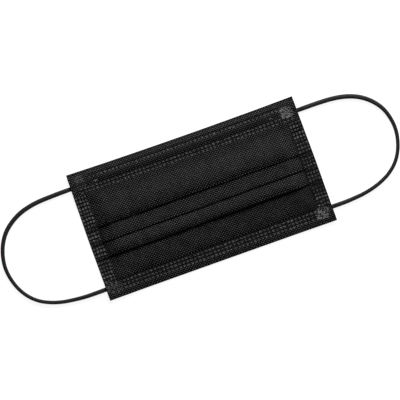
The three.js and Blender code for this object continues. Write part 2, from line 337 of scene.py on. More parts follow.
@dataclass(frozen=True)
class MaskForm:
    """The outline and plies of the laid mask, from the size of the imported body. Millimetres."""

    width: float
    height: float
    wall: float = 1.05
    ply: float = 1.35
    top_hem: float = 17.1
    bottom_hem: float = 12.8
    flap_short: float = 1.0
    seam_left: float = 9.3
    seam_right: float = 10.1
    top_dish: float = 0.8
    bottom_dish: float = 0.12
    dish_hems: float = 3
    right_lean: float = 1.0
    side_bow: float = 0.5
    side_bow_reach: float = 0.75
    left_taller: float = 0.0036
    corner_lift: Table = ((0, 2.0), (5, 1.35), (10, 1.3), (14, 0.9), (20, 0.3), (26, 0))
    lift_fade: float = 16
    under_hem: float = 1.2
    seam_press: float = 0.95
    pleats: tuple[Pleat, ...] = (
        Pleat(left=43.3, middle=43.2, right=42.3, tuck=11.2, swell=Swell(2.0, 0.71, 0.35, 0.9)),
        Pleat(left=54.6, middle=54.5, right=53.9, tuck=10.9, swell=Swell(1.4, 0.26, 0.4, 0.8)),
        Pleat(left=65.7, middle=65.5, right=64.9, tuck=10.6, swell=Swell(1.25, 0.3, 0.95, 0.74)),
    )

    @classmethod
    def from_frame(cls) -> MaskForm:
        """Take the size of the mask body from the two packed hems.

        Returns:
            The form of the mask.
        """
        (_, top_high), (low, high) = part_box("top_hem"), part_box("bottom_hem")
        tallest = (top_high[1] - low[1]) / MM
        return cls(width=(high[0] - low[0]) / MM, height=tallest / (1 + cls.left_taller))

    @property
    def half_width(self) -> float:
        """Half of the mask's width."""
        return self.width / 2

    @property
    def bottom_start(self) -> float:
        """How far down the bottom hem begins."""
        return self.height - self.bottom_hem

    @property
    def over(self) -> float:
        """Height of the middle of a hem's upper ply."""
        return self.wall / 2 + self.ply

    def hem(self, edge: Edge) -> float:
        """Depth of a hem."""
        return self.top_hem if edge is Edge.TOP else self.bottom_hem

    def seam(self, side: Side) -> float:
        """Width of a side seam."""
        return self.seam_left if side is Side.LEFT else self.seam_right

    def from_edge(self, edge: Edge, down: Array | float) -> Array | float:
        """Distance from a long edge of the mask, or down the mask if that distance is given."""
        return down if edge is Edge.TOP else self.height - down

    def inward(self, x: Array) -> Array:
        """Distance of each x from the nearer side edge."""
        return self.half_width - np.abs(x)

    def lift(self, x: Array, down: Array) -> Array:
        """How far the cord ends lift the corners of the cloth."""
        near = [fall(self.from_edge(edge, down), self.hem(edge), self.hem(edge) + self.lift_fade)
                for edge in Edge]
        return smooth_table(self.inward(x), self.corner_lift) * np.maximum(*near)

    def tucked(self, down: Array, seen: float) -> Array:
        """How far cloth has gone under a hem, from a little before the hem."""
        return sum(fall(self.from_edge(edge, down), self.hem(edge) - self.under_hem, self.hem(edge) + seen)
                   for edge in Edge)

    def place(self, x: Array, down: Array, height: Array) -> Array:
        """Place points of the flat mask.

        Args:
            x, down: Place on the flat mask.
            height: Height above the surface, before the corners are lifted.

        Returns:
            Points as x, y and z on a last axis of three.
        """
        across, middle = x / self.half_width, 2 * down / self.height - 1
        top, bottom = (fall(self.from_edge(edge, down), 0, self.dish_hems * self.hem(edge)) for edge in Edge)
        dish = (1 - across * across) * (self.top_dish * top - self.bottom_dish * bottom)
        lean = self.right_lean * (1 - down / self.height) * (1 + across) / 2
        lean = lean - self.side_bow * across * np.clip(1 - (middle / self.side_bow_reach) ** 2, 0, 1)
        up = (self.height / 2 - down - dish) * (1 - self.left_taller * across)
        return np.stack(np.broadcast_arrays(x - lean, up, height + self.lift(x, down)), axis=-1)

    def fold_edge(self, pleat: Pleat, x: Array) -> Array:
        """How far down a fold edge lies.

        Args:
            pleat: The pleat.
            x: Distance across.

        Returns:
            The distance down at each x.
        """
        across, slope = x / self.half_width, (pleat.right - pleat.left) / 2
        bend = (pleat.left + pleat.right) / 2 - pleat.middle
        return pleat.middle + slope * across + bend * across * across


# ---- Cloth ----


class ClothPath:
    """The centre line of a folded cloth, drawn at every station across the mask at once."""

    def __init__(self, stations: Array) -> None:
        """Start an empty path over the given stations."""
        self.stations = stations
        self._down: list[Array] = []
        self._rest: list[tuple[float, ...]] = []
        self._after_run = False

    def _add(self, down: Array, *rest: float) -> None:
        """Add one point at every station: how far down, its height, normal, swell and relief."""
        self._down.append(np.broadcast_to(down, self.stations.shape))
        self._rest.append(rest)

    def run(self, start: Array, end: Array, step: float, height: float, facing: int, relief: float = 1,
            swell: Swell | None = None) -> None:
        """Add a flat run of cloth, which shares its first point with a run just before it.

        Args:
            start: How far down it starts, at each station.
            end: How far down it ends.
            step: Length of one step.
            height: Height of the run in the flat stack.
            facing: +1 where the outer side looks up, -1 where it looks down.
            relief: Strength of the cloth's relief here.
            swell: How the run swells up between its ends.
        """
        start, end = np.broadcast_arrays(start, end)
        steps = max(2, round(float(np.abs(end - start).mean()) / step))
        for k in range(int(self._after_run), steps + 1):
            share = k / steps
            up = swell.at(share) if swell else 0
            self._add(start + (end - start) * share, height, 0, facing, up, relief)
        self._after_run = True

    def turn(self, down: Array, start: float, end: float, bulge: int, facing: int, relief: float,
             steps: int = 8) -> None:
        """Add a half turn between two plies.

        Args:
            down: How far down the centre of the turn lies.
            start: Height of the ply that comes in.
            end: Height of the ply that goes out.
            bulge: +1 where the turn bulges down the mask, -1 up.
            facing: As for the ply that comes in.
            relief: Strength of the cloth's relief here.
            steps: Number of steps in the turn.
        """
        radius, sense = abs(start - end) / 2, math.copysign(1, start - end)
        for k in range(1, steps):
            angle = math.pi * k / steps
            side, up = bulge * math.sin(angle), math.cos(angle)
            self._add(down + radius * side, (start + end) / 2 + sense * radius * up,
                      facing * sense * side, facing * up, 0, relief)
        self._after_run = False

    def arrays(self) -> tuple[Array, ...]:
        """Distance down over stations and points, then height, two parts of the normal, swell and relief."""
        return np.stack(self._down, axis=1), *np.array(self._rest).T


@dataclass(frozen=True)
class Emboss:
    """The fine point emboss of the nonwoven: mounds and dimples in turn. Millimetres."""

    across: float = 2.25
    along: float = 2.0
    depth: float = 0.4
    peak: float = 1.5

    def at(self, x: Array, along: Array) -> Array:
        """Depth below the top of the mounds, as a number that is never above 0."""
        wave = np.cos(TURN * x / self.across) * np.cos(TURN * along / self.along)
        return self.depth * (((wave + 1) / 2) ** self.peak - 1)


@dataclass(frozen=True)
class WeldMarks:
    """A block of welded points in rows and columns, no two alike. Millimetres.

    The points lie at first + k * pitch across and at first_down + m * row_pitch down. Each row of faint says
    round which distance down, over which reach and by what share the points lose their gleam.
    """

    first: float
    last: float
    first_down: float
    gleam: float
    seed: int
    pitch: float = 3.01
    rows: int = 1
    row_pitch: float = 1000
    width: float = 2.1
    length: float = 1.5
    depth: float = 0.2
    groove: float = 0.3
    groove_above: float = 1.2
    groove_width: float = 0.5
    groove_shade: float = 0.85
    gap_shade: float = 0.8
    row_uneven: float = 0
    faint: Table = ()
    wander: Span = (0.09, 0.1)
    size_vary: float = 0.18
    taper: float = 0.5
    gleam_vary: float = 0.38
    outline: Span = (0.7, 1.12)
    gap: Span = (0.45, 0.7)

    def at(self, x: Array, down: Array) -> tuple[Array, Array]:
        """Read the block at points of the flat mask.

        Args:
            x, down: Place on the flat mask.

        Returns:
            The relief, which is never above 0, and how far the cloth is fused, below 0 where shade is
            painted in the groove above the row and between the points.
        """
        columns = round((self.last - self.first) / self.pitch) + 1
        column = np.round((x - self.first) / self.pitch)
        row = np.round((down - self.first_down) / self.row_pitch)
        inside = (column >= 0) & (column < columns) & (row >= 0) & (row < self.rows)
        rng = np.random.default_rng(self.seed)
        chance = rng.uniform(-1, 1, (6, columns, self.rows))
        at_row = np.clip(row, 0, self.rows - 1).astype(int)
        pick = chance[:, np.clip(column, 0, columns - 1).astype(int), at_row]
        from_row = down - self.first_down - row * self.row_pitch
        aside = x - self.first - column * self.pitch - self.wander[0] * self.width * pick[0]
        below = from_row - self.wander[1] * self.length * pick[1]
        aside = aside / (self.width / 2 * (1 + self.size_vary * pick[2]))
        below = below / (self.length / 2 * (1 + self.size_vary * pick[3]))
        aside = aside / np.clip(1 + self.taper * pick[4] * below, 0.4, 1.6)
        mark = inside * fall(rounded_reach(aside, below, 3), *self.outline)
        line = inside * hump(from_row, -self.groove_above, self.groove_width)
        gap = inside * fall(np.abs(from_row) / self.length, *self.gap) * (1 - mark)
        gleam = self.gleam * (1 + self.gleam_vary * pick[5])
        if self.row_uneven:
            gleam = gleam * (1 + self.row_uneven * rng.uniform(-1, 1, self.rows))[at_row]
        for centre, reach, lost in self.faint:
            gleam = gleam * (1 - lost * hump(down, centre, reach))
        # Painted shade in the groove above each row and in the gaps between the points.
        groove_and_gap_shade = self.groove_shade * np.maximum(line, self.gap_shade * gap) * (1 - mark)
        return -self.depth * mark - self.groove * line, mark * gleam - groove_and_gap_shade


@dataclass(frozen=True)
class WeldPatch:
    """A crumpled patch at a corner, where the cord end is welded on. Millimetres."""

    x: float
    down: float
    half_width: float
    half_length: float
    depth: float
    crumple: float
    gleam: float
    seed: int
    grain: float
    fill: float
    streak: float
    lean: Span = (0, 0)
    slant: float = 0
    stretch: float = 1
    power: float = 2.6
    ragged: float = 0.05
    outline: Span = (0.82, 1.1)
    least_fill: float = 0.03
    most_fill: float = 1.8
    fine_share: float = 0.3

    def at(self, x: Array, down: Array) -> tuple[Array, Array]:
        """Read the patch at points of the flat mask.

        Args:
            x, down: Place on the flat mask.

        Returns:
            The relief, and how far the cloth is fused.
        """
        aside, below = (x - self.x) / self.half_width, (down - self.down) / self.half_length
        ragged = 1 + self.ragged * Ripple(self.seed, 5).at(x, down)
        inside = fall(rounded_reach(aside, below, self.power) * ragged, *self.outline)
        # The fused share leans toward one side and rises along the crumples: painted highlight on the melted
        # patch.
        leaning = self.lean[0] * aside + self.lean[1] * below
        cosine, sine = math.cos(self.slant), math.sin(self.slant)
        along, across = (x * cosine - down * sine) / self.stretch, x * sine + down * cosine
        crumple = Ripple(self.seed + 1, self.grain).at(along, across)
        fine = Ripple(self.seed + 2, self.grain * 0.5).at(along, across)
        streaks = np.clip(self.fill + self.streak * (crumple + 0.5 * fine), self.least_fill, self.most_fill)
        fused = inside * self.gleam * streaks * np.clip(1 + leaning, 0.2, 2)
        crumpled = (1 - self.fine_share) * crumple + self.fine_share * fine
        return inside * (self.crumple * crumpled - self.depth), fused


# No two patches came out of the welder alike. Here down is the distance from the patch's own long edge.
CORNER_PATCHES: dict[tuple[Edge, Side], WeldPatch] = {
    (Edge.TOP, Side.LEFT): WeldPatch(
        x=-79.2, down=8.0, half_width=3.9, half_length=5.6, depth=0.25, crumple=0.1, gleam=0.5, seed=41,
        grain=1.6, fill=0.6, streak=0.5, lean=(-0.1, 0.1)),
    (Edge.TOP, Side.RIGHT): WeldPatch(
        x=79.8, down=9.3, half_width=4.9, half_length=4.8, depth=0.4, crumple=0.09, gleam=1.25, seed=45,
        grain=1.7, fill=0.88, streak=0.62, lean=(-0.3, 0.8), slant=math.radians(-20), stretch=2.2),
    (Edge.BOTTOM, Side.LEFT): WeldPatch(
        x=-81.3, down=8.8, half_width=5.4, half_length=6.6, depth=0.1, crumple=0.08, gleam=0.5, seed=52,
        grain=2.4, fill=0.0, streak=1.0),
    (Edge.BOTTOM, Side.RIGHT): WeldPatch(
        x=79.7, down=10.2, half_width=5.2, half_length=5.9, depth=0.35, crumple=0.14, gleam=1.1, seed=58,
        grain=1.9, fill=0.38, streak=0.9, lean=(-0.3, 1.2), slant=math.radians(35), stretch=2.0),
}


@dataclass
class ClothPiece:
    """A piece of cloth: a folded path, laid at stations across the mask, with relief on its outer face."""

    form: MaskForm
    name: str
    node: str
    emboss: Emboss = Emboss()
    steps_per_mound: int = 5
    step: float = 0.4
    stride: int = 3
    thickness: float = 0.6
    flat_where_shaded: float = 0.8
    welded_flat: float = 0.75
    clearance: float = 0.02

    def ends(self) -> Span:
        """Where the piece begins and ends across the mask."""
        return -self.form.half_width, self.form.half_width

    def stations(self) -> Array:
        """Space the stations across the mask, a whole number of them to each mound of the emboss.

        Returns:
            The distance across of each station.
        """
        left, right = self.ends()
        spacing = self.emboss.across / self.steps_per_mound
        inside = np.arange(math.ceil(left / spacing), math.floor(right / spacing) + 1) * spacing
        return np.unique(np.round(np.concatenate([[left], inside, [right]]), 4))

    def path(self, stations: Array) -> ClothPath:
        """Fold the cloth, in the flat stack.

        Args:
            stations: Distance across of each station.

        Returns:
            The path of the folded cloth.
        """
        raise NotImplementedError

    def lay(self, x: Array, down: Array, height: Array, swell: Array) -> Array:
        """Height of the laid cloth.

        Args:
            x, down: Place on the flat mask.
            height: Height in the flat stack.
            swell: How far the strip swells up.

        Returns:
            The height above the surface, before the corners are lifted.
        """
        raise NotImplementedError

    def marks(self) -> Iterable[WeldMarks | WeldPatch]:
        """The welded marks on the piece."""
        return ()

    def patch(self, edge: Edge, side: Side) -> WeldPatch:
        """The welded patch at one corner of the mask."""
        patch = CORNER_PATCHES[edge, side]
        return replace(patch, down=self.form.from_edge(edge, patch.down))

    def unevenness(self, x: Array, down: Array) -> Array:
        """Soft unevenness of the outer face."""
        return np.zeros(x.shape)

    def painted_shade(self, x: Array, down: Array) -> Array:
        """How much shade is painted on the cloth, from 0 to 1; its relief is flattened there too."""
        return np.zeros(x.shape)

    def build(self) -> Object:
        """Make the piece.

        Returns:
            The new object, not yet dressed or bound to the frame.
        """
        stations = self.stations()
        down, height, normal_down, normal_up, swell, strength = self.path(stations).arrays()
        x = np.broadcast_to(stations[:, None], down.shape)
        steps = np.hypot(np.diff(down, axis=1), np.diff(height))
        along = np.pad(np.cumsum(steps, axis=1), ((0, 0), (1, 0))) + down[:, :1]
        faces = []
        for offset in (self.form.wall / 2 - self.thickness, self.form.wall / 2):
            face_down, face_height = down + offset * normal_down, height + offset * normal_up
            faces.append(self.form.place(x, face_down, self.lay(x, face_down, face_height, swell)))
        inner, outer = faces
        # Here face_down is that of the outer face, which comes last.
        # Painted shade darkens the outer face and flattens its relief.
        shade_paint = self.painted_shade(x, face_down)
        relief = strength * self.emboss.at(x, along) * (1 - self.flat_where_shaded * shade_paint)
        fused, facing = -shade_paint, np.clip(normal_up, 0, 1)
        # Each mark melts the cloth paler, partly as painted highlight, and may paint shade where it is below
        # 0.
        for mark in self.marks():
            pressed, melted = mark.at(x, down)
            flattened = self.welded_flat * np.clip(np.abs(melted), 0, 1) * facing
            relief = relief * (1 - flattened) + pressed * facing
            fused = fused + melted * facing
        relief = relief + self.unevenness(x, down) * facing
        outer = outer + grid_normals(outer) * relief[..., None]
        outer[..., 2] = np.maximum(outer[..., 2], self.clearance)
        return shell(self.name, outer, inner, self.stride, np.stack([x, along], axis=-1), fused)


@dataclass
class PleatedPanel(ClothPiece):
    """The breathing panel between the hems and the side seams, laid in three knife pleats."""

    name: str = "pleated_cloth"
    node: str = "pleated_panel"
    ply: float = 1.25
    hidden_step: float = 2.0
    hidden_relief: float = 0.3
    fold_relief: float = 0.1
    tuck_relief: float = 0.2
    chin: Swell = Swell(0.6, 0.74)
    lay_heights: Table = (
        (17.4, 1.875), (24.4, 2.3), (31.4, 3.5), (43.2, 4.7), (45.7, 4.85), (54.5, 7.2), (65.5, 9.65),
        (78, 9.95), (83.4, 9.375))
    stack: Span = (30.4, 72.4)
    dome: float = 0.8
    press_share: float = 0.5
    press_run: float = 12
    end_share: float = 0.34
    end_run: float = 4
    least_swell: float = 0.35
    swell_run: float = 3
    least_height: float = 0.05
    under_seam: float = 0.5
    tuck_under: float = 0.6
    tuck_seen: float = 0.4
    beside_press: Span = (1.15, 0.28)
    beside_run: float = 5
    beside_rows: Span = (70, 78)
    # Painted shade beside the seams, low at the right and along each fold: how dark, and how far it reaches.
    left_shade: Span = (0.48, 6.5)
    right_shade: Span = (0.85, 2.0)
    low_right_shade: Span = (0.35, 6)
    low_right_rows: Span = (42, 56)
    shade_sets_in: Span = (24, 32)
    shade_ends: Span = (74, 84)
    fold_shade: Span = (0.75, 0.75)
    waver: Span = (0.06, 38)
    # Areas of painted shade: how dark, where each sets in and ends going down, and where it sets in across.
    shade_paint: tuple[tuple[float, Span, Span, Span], ...] = (
        (0.14, (0, 1), (19, 24), (-90, -89)),
        (0.04, (64, 67), (72, 77), (-90, -89)),
        (0.34, (64, 67), (72, 77), (-20, 35)),
        (0.16, (77, 80), (90, 91), (5, 35)),
        (0.4, (70, 76), (90, 91), (56, 70)),
    )
    slack: tuple[tuple[float, Ripple], ...] = (
        (0.22, Ripple(20, 40)), (0.15, Ripple(260, 26)), (0.09, Ripple(6, 11)))

    def ends(self) -> Span:
        """The panel runs from one side seam to the other, and a little under both."""
        left, right = (self.form.half_width - self.form.seam(side) + self.under_seam for side in Side)
        return -left, right

    def path(self, stations: Array) -> ClothPath:
        """Lay the cloth from the top hem to the bottom hem, each pleat two plies lower.

        Args:
            stations: Distance across of each station.

        Returns:
            The path, in the flat stack.
        """
        form, ply, path = self.form, self.ply, ClothPath(stations)
        path.run(form.top_hem - form.under_hem, form.top_hem, self.step, 0, 1, self.hidden_relief)
        visible_from: Array | float = form.top_hem
        height = 0.0
        for number, pleat in enumerate(form.pleats):
            waver = self.waver[0] * Ripple(31 + number, self.waver[1]).at(stations, 0)
            edge = form.fold_edge(pleat, stations) - (ply + form.wall) / 2 + waver
            path.run(visible_from, edge, self.step, height, 1, 1, pleat.swell)
            path.turn(edge, height, height - ply, 1, 1, self.fold_relief)
            tuck_end = edge - pleat.tuck
            path.run(edge, tuck_end, self.hidden_step, height - ply, -1, self.hidden_relief)
            path.turn(tuck_end, height - ply, height - 2 * ply, -1, -1, self.tuck_relief, 5)
            height -= 2 * ply
            path.run(tuck_end, edge, self.hidden_step, height, 1, self.hidden_relief)
            visible_from = edge
        path.run(visible_from, form.bottom_start, self.step, height, 1, 1, self.chin)
        end = form.bottom_start + form.under_hem
        path.run(form.bottom_start, end, self.step, height, 1, self.hidden_relief)
        return path

    def lay(self, x: Array, down: Array, height: Array, swell: Array) -> Array:
        """Settle each ply on the stack below it: bowed up in the middle and pinched at the seams."""
        form, (left, right) = self.form, self.ends()
        from_seam = np.minimum(x - left, right - x)
        inward, at_seam = ramp(from_seam, 0, self.press_run), fall(from_seam, 0, self.end_run)
        in_stack = ramp(down, form.top_hem, self.stack[0]) * fall(down, self.stack[1], form.bottom_start)
        share = self.press_share + (self.end_share - self.press_share) * at_seam
        press = 1 - (1 - share) * (1 - inward) * in_stack
        swelling = swell * (self.least_swell + (1 - self.least_swell) * inward)
        swelling = swelling * ramp(from_seam, 0, self.swell_run)
        level = height + smooth_table(down, self.lay_heights) + swelling
        least, more = self.beside_press
        beside = (1 - in_stack) * fall(from_seam, 0, self.beside_run)
        beside = beside * (least + more * ramp(down, *self.beside_rows))
        tucked = self.tuck_under * form.tucked(down, self.tuck_seen)
        laid = level * press + self.dome * inward * in_stack - tucked - form.seam_press * beside
        return np.maximum(laid, self.least_height)

    def painted_shade(self, x: Array, down: Array) -> Array:
        """Painted shade along each fold and beside the seams, soft at the left and hard at the right, and
        over a few areas.
        """
        left, right = self.ends()
        beside = self.left_shade[0] * fall(x - left, 0.5, self.left_shade[1])
        beside = beside + self.right_shade[0] * fall(right - x, 0.5, self.right_shade[1])
        low, run = self.low_right_shade
        beside = beside + low * fall(right - x, 1, run) * ramp(down, *self.low_right_rows)
        beside = beside * ramp(down, *self.shade_sets_in) * fall(down, *self.shade_ends)
        folds = [self.fold_shade[0] * hump(down, self.form.fold_edge(pleat, x), self.fold_shade[1])
                 for pleat in self.form.pleats]
        areas = sum(share * ramp(down, *start) * fall(down, *end) * ramp(x, *across)
                    for share, start, end, across in self.shade_paint)
        return np.maximum.reduce([beside, *folds, areas])

    def unevenness(self, x: Array, down: Array) -> Array:
        """The slack of the cloth between its folds."""
        top, bottom = self.form.top_hem, self.form.bottom_start
        quiet = ramp(down, top, top + 6) * fall(down, bottom - 5, bottom)
        return quiet * sum(height * ripple.at(x, down) for height, ripple in self.slack)


# The rows of welded points in each hem: seed, first and last point across, distance from the edge, gleam.
HEM_ROWS: dict[Edge, Table] = {
    Edge.TOP: ((11, -71.3, 74, 6.0, 0.45), (12, -80.3, 82.3, 13.0, 0.5), (13, -80.3, 82.3, 15.55, 0.47)),
    Edge.BOTTOM: ((21, -73, 73, 10.7, 0.5), (22, -73, 73, 8.1, 0.5), (23, -73, 73, 5.5, 0.55)),
}


@dataclass
class Hem(ClothPiece):
    """A long edge of the mask, folded over to the back and welded in rows."""

    edge: Edge = Edge.TOP
    edge_roll: float = 1.4
    edge_roll_run: Span = (0.4, 4.1)
    # Painted shade along the outer edge, and along the line where the bottom hem is first pressed.
    edge_shade: float = 0.7
    edge_shade_width: float = 0.7
    hem_line_shade: float = 0.5
    fold_relief: float = 0.12
    flap_relief: float = 0.8
    corner_press: float = 0.55
    corner_run: Span = (6, 20)
    band_run: Span = (9, 14)
    ridge_down: float = 9.3
    ridge_height: float = 0.55
    ridge_flat: float = 1.6
    ridge_ramp: float = 2.6
    wire_half: float = 63

    def path(self, stations: Array) -> ClothPath:
        """The cloth from the panel, over the edge of the mask, to the end of its flap."""
        form, path = self.form, ClothPath(stations)
        nose, under = (form.ply + form.wall) / 2, form.wall / 2
        fold, seen_end, flap_end = (form.from_edge(self.edge, inset) for inset in (
            nose, form.hem(self.edge), form.hem(self.edge) - form.flap_short))
        flap = 2 * self.step, under, -1, self.flap_relief
        seen = self.step, form.over, 1
        if self.edge is Edge.TOP:
            path.run(flap_end, fold, *flap)
            path.turn(fold, under, form.over, -1, -1, self.fold_relief)
            path.run(fold, seen_end, *seen)
        else:
            path.run(seen_end, fold, *seen)
            path.turn(fold, form.over, under, 1, 1, self.fold_relief)
            path.run(fold, flap_end, *flap)
        return path

    def lay(self, x: Array, down: Array, height: Array, swell: Array) -> Array:
        """Press the two plies together towards the corners, and raise the ridge over the nose wire."""
        form = self.form
        above, inward = ramp(height, form.wall, form.over), form.inward(x)
        outer = form.from_edge(self.edge, down)
        inner = form.hem(self.edge) - outer
        corner = self.corner_press * fall(inward, *self.corner_run) * ramp(inner, -1, 6)
        at_band = form.seam_press * fall(inward, *self.band_run) * fall(inner, 0, 5)
        level = height - above * (corner + at_band + self.edge_roll * fall(outer, *self.edge_roll_run))
        if self.edge is Edge.TOP:
            aside = np.abs(down - self.ridge_down) - self.ridge_flat / 2
            beyond = np.abs(x) - self.wire_half
            level = level + above * self.ridge_height * fall(aside, 0, self.ridge_ramp) * fall(beyond, 0, 5)
        return level

    def painted_shade(self, x: Array, down: Array) -> Array:
        """Painted shade: a dark line along the outer edge, and one where the bottom hem is first pressed."""
        outer = self.form.from_edge(self.edge, down)
        shade_paint = self.edge_shade * fall(outer, self.edge_shade_width, self.edge_shade_width + 0.5)
        if self.edge is Edge.BOTTOM:
            shade_paint = shade_paint + self.hem_line_shade * hump(down, self.form.bottom_start + 0.6, 0.5)
        return shade_paint

    def marks(self) -> Iterable[WeldMarks | WeldPatch]:
        """The rows of welded points, the ends of the wire's channel and the two corner patches."""
        for seed, first, last, inset, gleam in HEM_ROWS[self.edge]:
            yield WeldMarks(first, last, self.form.from_edge(self.edge, inset), gleam, seed)
        if self.edge is Edge.TOP:
            yield WeldMarks(-68.4, 67.2, 9.8, gleam=0.75, seed=14, pitch=135.6, width=2.9, length=1.1,
                            depth=0.3, groove=0)
        for side in Side:
            yield self.patch(self.edge, side)


@dataclass
class SideSeam(ClothPiece):
    """A side band, where all plies are pressed together and welded in a grid of points."""

    side: Side = Side.LEFT
    faint: Table = ()
    stride: int = 2
    step: float = 0.33
    columns: Span = (1.55, 8.5)
    extra_width: float = 0.1
    tuck_under: float = 0.35
    tuck_seen: float = 0.3
    underside: float = 0.03
    pleat_bulge: Span = (0.12, 0.4)
    bulge_rise: Span = (-9, -1)
    bulge_end: Span = (-0.6, 1.0)
    relief: float = 0.6
    press_rows: Table = (
        (17.4, 0.95, 1.1), (30.4, 0.95, 1.3), (32.4, 1.15, 1.8), (64.4, 1.15, 1.8), (66.4, 0.95, 1.3),
        (83.4, 0.95, 1.1))

    def ends(self) -> Span:
        """The band lies along one side of the mask."""
        half, width = self.form.half_width, self.form.seam(self.side) + self.extra_width
        return (-half, width - half) if self.side is Side.LEFT else (half - width, half)

    def stations(self) -> Array:
        """Stations across the narrow band."""
        return np.linspace(*self.ends(), 33)

    def thick(self, x: Array, down: Array) -> Array:
        """Read the thickness of the pressed plies, thicker inward and where the pleats run in.

        Args:
            x, down: Place on the flat mask.

        Returns:
            The thickness at each point.
        """
        downs, *sides = np.array(self.press_rows).T
        outer, inner = (np.interp(down, downs, thicknesses) for thicknesses in sides)
        inward = self.form.inward(x) / self.form.seam(self.side)
        thick = outer + (inner - outer) * inward
        for pleat in self.form.pleats:
            below = down - self.form.fold_edge(pleat, x)
            bulge = self.pleat_bulge[0] + self.pleat_bulge[1] * inward
            thick = thick + bulge * (ramp(below, *self.bulge_rise) - ramp(below, *self.bulge_end))
        return thick

    def path(self, stations: Array) -> ClothPath:
        """One flat run from hem to hem."""
        path, under = ClothPath(stations), self.form.under_hem
        path.run(self.form.top_hem - under, self.form.bottom_start + under, self.step, 0, 1, self.relief)
        return path

    def lay(self, x: Array, down: Array, height: Array, swell: Array) -> Array:
        """Lay the band on the surface: height is its upper or its lower face."""
        upper = self.thick(x, down) - self.tuck_under * self.form.tucked(down, self.tuck_seen)
        return np.where(height > (self.form.wall - self.thickness) / 2, upper, self.underside)

    def marks(self) -> Iterable[WeldMarks | WeldPatch]:
        """The grid of welded points, fainter below each fold as painted shade, and the two corner patches.
        """
        sign = self.side.value
        near, far = (sign * (self.form.half_width - inward) for inward in self.columns)
        first, last = sorted((near, far))
        shaded = tuple((self.form.fold_edge(pleat, near) + 1.2, 1.8, 0.8) for pleat in self.form.pleats)
        yield WeldMarks(first, last, 18.5, gleam=0.74 - 0.06 * sign, seed=60 + sign,
                        pitch=(last - first) / 3, rows=24, row_pitch=2.755, width=1.75, length=1.8,
                        depth=0.22, groove=0.15, row_uneven=0.45, groove_shade=0.77 + 0.08 * sign,
                        faint=self.faint + shaded)
        for edge in Edge:
            yield self.patch(edge, self.side)


# ---- The nose wire ----


@dataclass
class NoseWire:
    """The flat strip in the channel of the top hem: two steel wires in a plastic web. Millimetres."""

    form: MaskForm
    length: float = 123.4
    width: float = 3.8
    web: float = 0.34
    core: float = 0.31
    down: float = 9.8
    height: float = 1.66

    def build(self) -> Object:
        """Make the strip along the channel.

        Returns:
            The new object.
        """
        across, up = self._section()
        stations = np.linspace(-self.length / 2, self.length / 2, 125)[:, None]
        return tube("nose_wire_strip", self.form.place(stations, self.down + across, self.height + up))

    def _section(self) -> tuple[Array, Array]:
        """Draw the outline of the strip: a thin web with a bead over each wire.

        Returns:
            Its distances across and its heights.
        """
        across, web = np.linspace(-1, 1, 25) * self.width / 2, self.web / 2
        bead = np.maximum(0, 1 - (np.abs(np.abs(across) - self.width / 4) / self.core) ** 2)
        half = web + (self.core - web) * np.sqrt(bead)
        half = half * np.sqrt(np.clip(1 - (np.abs(across) / (self.width / 2)) ** 16, 0.02, 1))
        return np.append(across, across[::-1]), np.append(half, -half[::-1])


# ---- The ear loops ----


@dataclass(frozen=True)
class Knit:
    """The knit of an elastic cord: wales along it, with staggered courses. Millimetres."""

    wales: int
    relief: float
    wale_power: float
    course_relief: float
    course: float = 0.95

    def read(self, wale: Array, along: Array) -> tuple[Array, Array]:
        """Read the stitches.

        Args:
            wale: How far each point stands out on its wale, from 0 to 1.
            along: Distance along the cord.

        Returns:
            How far each point stands out in its course, from 0 to 1, and how full the cord is there.
        """
        stitch = (1 + np.cos(TURN * along / self.course + 2 * np.arccos(np.clip(wale, 0, 1)))) / 2
        return stitch, 1 - self.relief * (1 - wale**self.wale_power + self.course_relief * (1 - stitch))


def knitted_tube(name: str, ring: Iterable[Array], knit: Iterable[Array]) -> Object:
    """Make a knitted tube.

    Args:
        name: Name of the object.
        ring: Grids of x, y and z, one row for each ring.
        knit: Grids of the wale, the course and the share of paler knit.

    Returns:
        The new object, with the layer knit.
    """
    made = tube(name, np.stack(np.broadcast_arrays(*ring), axis=-1))
    add_layer(made, "knit", np.stack(np.broadcast_arrays(*knit), axis=-1))
    return made


